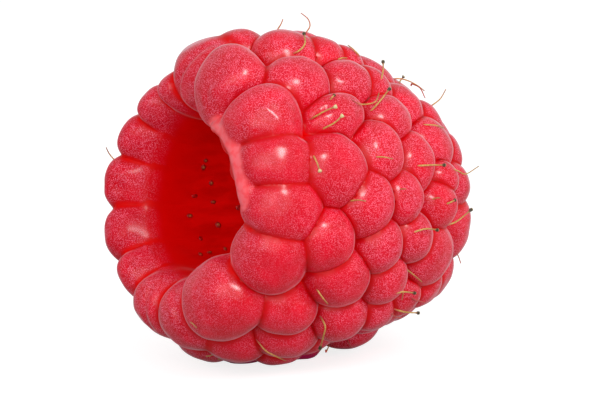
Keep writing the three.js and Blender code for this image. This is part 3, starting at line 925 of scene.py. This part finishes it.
# Linear colours. A pair is mottled from one to the other.
FLESH = [(0.62, 0, 0.009, 1), (0.74, 0, 0.017, 1)]
TINTED_FLESH = (0.58, 0, 0.018, 1)
DOWN = (1, 0.24, 0.38, 1)
# Painted sheen: a pale pink laid over the down where the skin is seen edge-on.
PAINTED_DOWN_SHEEN = (1, 0.38, 0.46, 1)
# Painted shade: the bare flesh in the creases and on the flanks beside them, darkened to a deep saturated
# red.
CREASE_PAINTED_SHADE = (0.58, 0, 0.002, 1)
# Painted light: the grooves between the mouth's lobes, a bright clear red that makes up for the shade in
# them, so they show as red lines.
INNER_CREASE_PAINTED_LIGHT = (0.74, 0.002, 0.002, 1)
PRESSED_FLESH = (0.5, 0, 0.09, 1)
TORN_FLESH = [(1, 0.08, 0.1, 1), (1, 0.14, 0.17, 1)]
# The hollow's clear red, partly painted light: brighter than the bare flesh outside, to stand in for light
# shining through the wall.
HOLLOW_EDGE = (0.76, 0, 0, 1)
HOLLOW_STREAKS = [(0.64, 0, 0, 1), (0.84, 0.002, 0.002, 1)]
DRY_STEM = [(0.46, 0.25, 0.05, 1), (0.66, 0.43, 0.12, 1)]
STEM_END = (0.3, 0.14, 0.05, 1)
RED_STEM = (0.5, 0.07, 0.06, 1)
DARK_KNOB = (0.05, 0.035, 0.015, 1)
DARK_KNOB_END = (0.5, 0.4, 0.22, 1)
PALE_KNOB = (0.68, 0.6, 0.3, 1)
VEIN = [(0.28, 0, 0, 1), (0.48, 0, 0, 1)]
DRY_VEIN = [(0.3, 0.1, 0.03, 1), (0.42, 0.2, 0.07, 1)]
PALE_GREY = [(0.38, 0.38, 0.38, 1), (0.42, 0.42, 0.42, 1)]
WHITE = (1, 1, 1, 1)

# Spots to a metre.
TUFT_SCALE = 14000.0
THIN_DOWN_SCALE = 2800.0
DOWN_PATCH_SCALE = 420.0
FLESH_SCALE = 600.0
TORN_SCALE = 2200.0
STREAK_SCALE = 1500.0
STEM_SCALE = 9000.0
VEIN_SCALE = 7000.0
FLOOR_SCALE = 30.0

FLOAT = "NodeSocketFloat"
COLOUR = "NodeSocketColor"


def new_material(name):
    material = bpy.data.materials.new(name)
    material.use_nodes = True
    material.node_tree.nodes.clear()
    return material, material.node_tree


def node(tree, kind, inputs=None, **settings):
    made = tree.nodes.new(kind)
    for key, value in settings.items():
        setattr(made, key, value)
    for key, value in (inputs or {}).items():
        socket = made.inputs[key]
        if isinstance(value, bpy.types.NodeSocket):
            tree.links.new(value, socket)
        else:
            socket.default_value = value
    return made


def shaded(material, inputs):
    """The material, with its shader and the output that shows it."""
    tree = material.node_tree
    shader = node(tree, "ShaderNodeBsdfPrincipled", inputs)
    node(tree, "ShaderNodeOutputMaterial", {"Surface": shader.outputs[0]})
    return material


def mix_colour(tree, share, first, second):
    return node(tree, "ShaderNodeMix", {0: share, 6: first, 7: second}, data_type="RGBA").outputs[2]


def evenly_between(tree, value, first, last):
    """First where the value is 0, and last where it is 1."""
    return node(tree, "ShaderNodeMapRange", {0: value, 1: 0.0, 2: 1.0, 3: first, 4: last}).outputs[0]


def steps_between(tree, value, low, high, first=0.0, last=1.0):
    """First where the value is low, and last where it is high, with rounded steps."""
    inputs = {0: value, 1: low, 2: high, 3: first, 4: last}
    return node(tree, "ShaderNodeMapRange", inputs, interpolation_type="SMOOTHSTEP").outputs[0]


def attribute(tree, name):
    return node(tree, "ShaderNodeAttribute", attribute_name=name).outputs["Fac"]


def worked_out(tree, operation, value, other):
    return node(tree, "ShaderNodeMath", {0: value, 1: other}, operation=operation).outputs[0]


def times(tree, value, other):
    return worked_out(tree, "MULTIPLY", value, other)


def greatest(tree, value, other):
    return worked_out(tree, "MAXIMUM", value, other)


def own_place(tree):
    return node(tree, "ShaderNodeTexCoord").outputs["Object"]


def wander(tree, place, scale, detail=2.0):
    inputs = {"Vector": place, "Scale": scale, "Detail": detail}
    return node(tree, "ShaderNodeTexNoise", inputs).outputs["Fac"]


def bump(tree, height, strength, distance):
    inputs = {"Strength": strength, "Distance": distance, "Height": height}
    return node(tree, "ShaderNodeBump", inputs).outputs[0]


def new_group(name, inputs, outputs):
    """A node group with its sockets, given by name and kind, and the values that come in."""
    group = bpy.data.node_groups.new(name, "ShaderNodeTree")
    for way, sockets in (("INPUT", inputs), ("OUTPUT", outputs)):
        for socket, kind in sockets.items():
            group.interface.new_socket(socket, in_out=way, socket_type=kind)
    return group, node(group, "NodeGroupInput").outputs


def fine_down_group():
    """The berry's fine down: a mask of pale tufts, thick in some places and thin in others."""
    group, given = new_group("fine_down", {"Scale": FLOAT}, {"Tufts": FLOAT})
    place = own_place(group)
    spots = node(group, "ShaderNodeTexVoronoi", {"Vector": place, "Scale": given["Scale"], "Randomness": 0.8})
    tufts = steps_between(group, spots.outputs["Distance"], 0.55, 0.15)
    thin = steps_between(group, wander(group, place, THIN_DOWN_SCALE), 0.34, 0.6, 0.5, 1.0)
    node(group, "NodeGroupOutput", {"Tufts": times(group, tufts, thin)})
    return group


def mottle_group():
    """A share that wanders unevenly over a surface, and the colour that goes with it."""
    inputs = {"Scale": FLOAT, "First": COLOUR, "Second": COLOUR}
    group, given = new_group("mottle", inputs, {"Share": FLOAT, "Colour": COLOUR})
    share = steps_between(group, wander(group, own_place(group), given["Scale"]), 0.35, 0.65)
    colour = mix_colour(group, share, given["First"], given["Second"])
    node(group, "NodeGroupOutput", {"Share": share, "Colour": colour})
    return group


FINE_DOWN_GROUP = fine_down_group()
MOTTLE_GROUP = mottle_group()


def mottle(tree, scale, colours):
    inputs = {"Scale": scale, "First": colours[0], "Second": colours[1]}
    return node(tree, "ShaderNodeGroup", inputs, node_tree=MOTTLE_GROUP).outputs


def hollow_colour_with_painted_light(tree):
    """Clear red flesh with faint streaks along the hollow, which show well inside it, made brighter than the
    bare flesh outside as painted light shining through the wall.
    """
    inputs = {"Vector": own_place(tree), "Rotation": (0, math.radians(TIP_DROOP), 0), "Scale": (0.25, 1, 1)}
    along = node(tree, "ShaderNodeMapping", inputs)
    streaks = steps_between(tree, wander(tree, along.outputs[0], STREAK_SCALE, 3.0), 0.3, 0.7)
    inside = mix_colour(tree, streaks, *HOLLOW_STREAKS)
    return mix_colour(tree, steps_between(tree, attribute(tree, "depth"), 0.2, 0.55), HOLLOW_EDGE, inside)


def down_cover_and_sheen(tree, edge_on):
    """How thick the down lies: in patches and thin where it is worn, with painted sheen that thickens it
    where the skin is seen edge-on.
    """
    cover = steps_between(tree, wander(tree, own_place(tree), DOWN_PATCH_SCALE), 0.3, 0.55, 0.55, 0.95)
    cover = times(tree, cover, steps_between(tree, attribute(tree, "worn"), 0.2, 1.0, 1.0, 0.4))
    return greatest(tree, cover, steps_between(tree, edge_on, 0.45, 0.95))


def skin_colour(tree, layers):
    """Clear red flesh, a little deeper in some drupelets, with each layer's colour over it by its share."""
    colour = mottle(tree, FLESH_SCALE, FLESH)["Colour"]
    for share, layer in [(times(tree, attribute(tree, "tint"), 0.35), TINTED_FLESH)] + layers:
        colour = mix_colour(tree, share, colour, layer)
    return colour


def skin_gloss(tree, down_and_sheen, dull_parts):
    """A clear gloss, less under down, and down to a least share of it in each dull part."""
    gloss = evenly_between(tree, down_and_sheen, 0.9, 0.5)
    for part, low, high, least in dull_parts:
        gloss = times(tree, gloss, steps_between(tree, part, low, high, 1.0, least))
    return gloss


def skin_material():
    material, tree = new_material("raspberry_skin")
    # How edge-on the skin is seen, which drives the painted sheen below.
    edge_on = node(tree, "ShaderNodeLayerWeight", {"Blend": 0.5}).outputs["Facing"]
    # The creases and the flanks beside them are bare of down and painted a deeper red as painted shade.
    flank = attribute(tree, "flank")
    groove = steps_between(tree, attribute(tree, "crease"), 0.1, 0.9)
    creases = greatest(tree, flank, groove)
    hollow = attribute(tree, "hollow")
    # Painted light in the grooves between the mouth's lobes.
    inner_crease = steps_between(tree, attribute(tree, "inner_crease"), 0.0, 0.8, 0.0, 0.85)
    on_lip = steps_between(tree, attribute(tree, "lip"), 0.0, 1.0)
    pressed = steps_between(tree, attribute(tree, "pressed"), 0.1, 0.9)
    bare_outside = greatest(tree, steps_between(tree, flank, 0.1, 0.8), groove)
    bare = greatest(tree, bare_outside, greatest(tree, hollow, on_lip))
    tufts = node(tree, "ShaderNodeGroup", {"Scale": TUFT_SCALE}, node_tree=FINE_DOWN_GROUP).outputs["Tufts"]
    down_share = worked_out(tree, "SUBTRACT", 1.0, bare)
    # The pale down tufts, thickened where the skin is seen edge-on as painted sheen.
    down_and_sheen = times(tree, times(tree, down_share, down_cover_and_sheen(tree, edge_on)), tufts)
    # Painted sheen: the down turns pale pink where the skin is seen edge-on.
    sheen = times(tree, times(tree, steps_between(tree, edge_on, 0.68, 0.97), down_share), 0.8)
    colour = skin_colour(tree, [
        (down_and_sheen, DOWN), (sheen, PAINTED_DOWN_SHEEN), (creases, CREASE_PAINTED_SHADE), (pressed, PRESSED_FLESH),
        (on_lip, mottle(tree, TORN_SCALE, TORN_FLESH)["Colour"]), (hollow, hollow_colour_with_painted_light(tree)),
        (inner_crease, INNER_CREASE_PAINTED_LIGHT),
    ])
    gloss = skin_gloss(tree, down_and_sheen, [
        (greatest(tree, hollow, inner_crease), 0.1, 0.9, 0.15), (creases, 0.1, 0.9, 0.55),
        (attribute(tree, "dull"), 0.15, 0.75, 0.3),
    ])
    return shaded(material, {
        "Base Color": colour, "Roughness": evenly_between(tree, down_and_sheen, 0.4, 0.7),
        "Normal": bump(tree, down_and_sheen, 0.3, 0.00004), "IOR": 1.38, "Specular IOR Level": 0.08,
        "Coat Weight": gloss, "Coat Roughness": 0.23, "Coat IOR": 1.39,
        "Subsurface Weight": 0.25, "Subsurface Radius": (1.0, 0.06, 0.05), "Subsurface Scale": 0.0007,
        "Sheen Weight": 0.15, "Sheen Roughness": 0.3, "Sheen Tint": (1, 0.7, 0.76, 1),
    })


def floor_material():
    """A pale floor that looks bright to the camera, and lights the berry little from below."""
    material, tree = new_material("pale_floor")
    seen = node(tree, "ShaderNodeLightPath").outputs["Is Camera Ray"]
    return shaded(material, {
        "Base Color": mottle(tree, FLOOR_SCALE, PALE_GREY)["Colour"], "Roughness": 0.8,
        "Specular IOR Level": 0.1, "Emission Color": WHITE, "Emission Strength": times(tree, seen, 0.8),
    })


def style_material():
    """Dry and golden along its length, red where it grows out of the flesh, with a dark or pale knob."""
    material, tree = new_material("dried_style_bristle")
    along = attribute(tree, "along_style")
    dry = mottle(tree, STEM_SCALE, DRY_STEM)
    stem = mix_colour(tree, steps_between(tree, along, 0.55, 0.95, 0.0, 0.7), dry["Colour"], STEM_END)
    red = greatest(tree, attribute(tree, "redness"), steps_between(tree, along, 0.3, 0.08))
    stem = mix_colour(tree, red, stem, RED_STEM)
    knob = mix_colour(tree, steps_between(tree, along, 0.97, 1.0), DARK_KNOB, DARK_KNOB_END)
    knob = mix_colour(tree, attribute(tree, "pale_knob"), knob, PALE_KNOB)
    at_knob = times(tree, steps_between(tree, along, KNOB_START, 0.92), attribute(tree, "knob"))
    return shaded(material, {
        "Base Color": mix_colour(tree, at_knob, stem, knob), "Roughness": 0.5,
        "Normal": bump(tree, dry["Share"], 0.4, 0.00002), "Subsurface Weight": 0.2,
        "Subsurface Radius": (1.0, 0.5, 0.2), "Subsurface Scale": 0.0001,
    })


def vein_dot_material():
    """Dark red, with a dry brown middle."""
    material, tree = new_material("vein_dot")
    flesh = mottle(tree, VEIN_SCALE, VEIN)["Colour"]
    dry = mottle(tree, VEIN_SCALE, DRY_VEIN)["Colour"]
    colour = mix_colour(tree, steps_between(tree, attribute(tree, "middle"), 0.2, 0.6), flesh, dry)
    return shaded(material, {
        "Base Color": colour, "Roughness": 0.45, "Subsurface Weight": 0.2,
        "Subsurface Radius": (1.0, 0.1, 0.05), "Subsurface Scale": 0.0003,
    })


berry.data.materials.append(skin_material())
bristle = style_material()
for number, row in enumerate(all_styles(), 1):
    style = build_style(*row)
    style.data.materials.append(bristle)
    if number <= SOLID_STYLES:
        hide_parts(f"dried_style_{number:02d}")
    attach(style, "root")
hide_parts("berry")
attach(berry, "root")
vein_dots.data.materials.append(vein_dot_material())
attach(vein_dots, "root")

# ---- The stage ----

floor = new_mesh_object("floor", [(-2, -2, 0), (2, -2, 0), (2, 2, 0), (-2, 2, 0)], [(0, 1, 2, 3)])
floor.data.materials.append(floor_material())

VIEW_TARGET = Vector((0.25, 0, 9.6)) * MM
VIEW_AZIMUTH = -35
VIEW_ELEVATION = 10
VIEW_DISTANCE = 200 * MM
FIELD_WIDTH = 38.25 * MM
SENSOR_WIDTH = 36

SOFTBOX_DISTANCE = 0.4
# Name, azimuth, elevation, size and power, then whether it lights the berry and shows in its gloss.
SOFTBOXES = [
    ("key_softbox", 9, 40, 0.14, 0.36, True, False),
    ("low_softbox", 12, 2, 0.07, 0.26, True, False),
    ("left_softbox", -66, 24, 0.3, 0.42, True, True),
    ("front_softbox", -32, 26, 0.4, 0.48, True, True),
    ("glint_softbox", -16, 46, 0.1, 0.85, False, True),
    ("right_softbox", 50, 8, 0.3, 0.42, True, False),
]
WORLD_LIGHT = 0.55  # white all round, and brighter to the camera


def add_facing_berry(name, data, azimuth, elevation, distance):
    """A camera or lamp that looks at the berry's middle."""
    a, e = math.radians(azimuth), math.radians(elevation)
    back = Vector((math.sin(a) * math.cos(e), -math.cos(a) * math.cos(e), math.sin(e)))
    made = new_object(name, data)
    made.location = VIEW_TARGET + back * distance
    made.rotation_euler = back.to_track_quat("Z", "Y").to_euler()
    return made


def add_camera():
    data = bpy.data.cameras.new("camera")
    data.sensor_width = SENSOR_WIDTH
    data.lens = SENSOR_WIDTH * VIEW_DISTANCE / FIELD_WIDTH
    data.clip_start = 0.01
    bpy.context.scene.camera = add_facing_berry("camera", data, VIEW_AZIMUTH, VIEW_ELEVATION, VIEW_DISTANCE)


def add_softbox(name, azimuth, elevation, size, power, diffuse, gloss):
    data = bpy.data.lights.new(name, "AREA")
    data.shape = "DISK"
    data.size = size
    data.energy = power
    lamp = add_facing_berry(name, data, azimuth, elevation, SOFTBOX_DISTANCE)
    lamp.visible_diffuse = diffuse
    lamp.visible_glossy = gloss


def add_studio():
    """White all round, with softboxes mostly at the front."""
    world = bpy.data.worlds.new("studio")
    world.use_nodes = True
    tree = world.node_tree
    seen = node(tree, "ShaderNodeLightPath").outputs["Is Camera Ray"]
    background = tree.nodes["Background"].inputs
    background["Color"].default_value = WHITE
    tree.links.new(evenly_between(tree, seen, WORLD_LIGHT, 1.0), background["Strength"])
    bpy.context.scene.world = world
    bpy.context.scene.view_settings.view_transform = "Standard"
    for row in SOFTBOXES:
        add_softbox(*row)


add_camera()
add_studio()
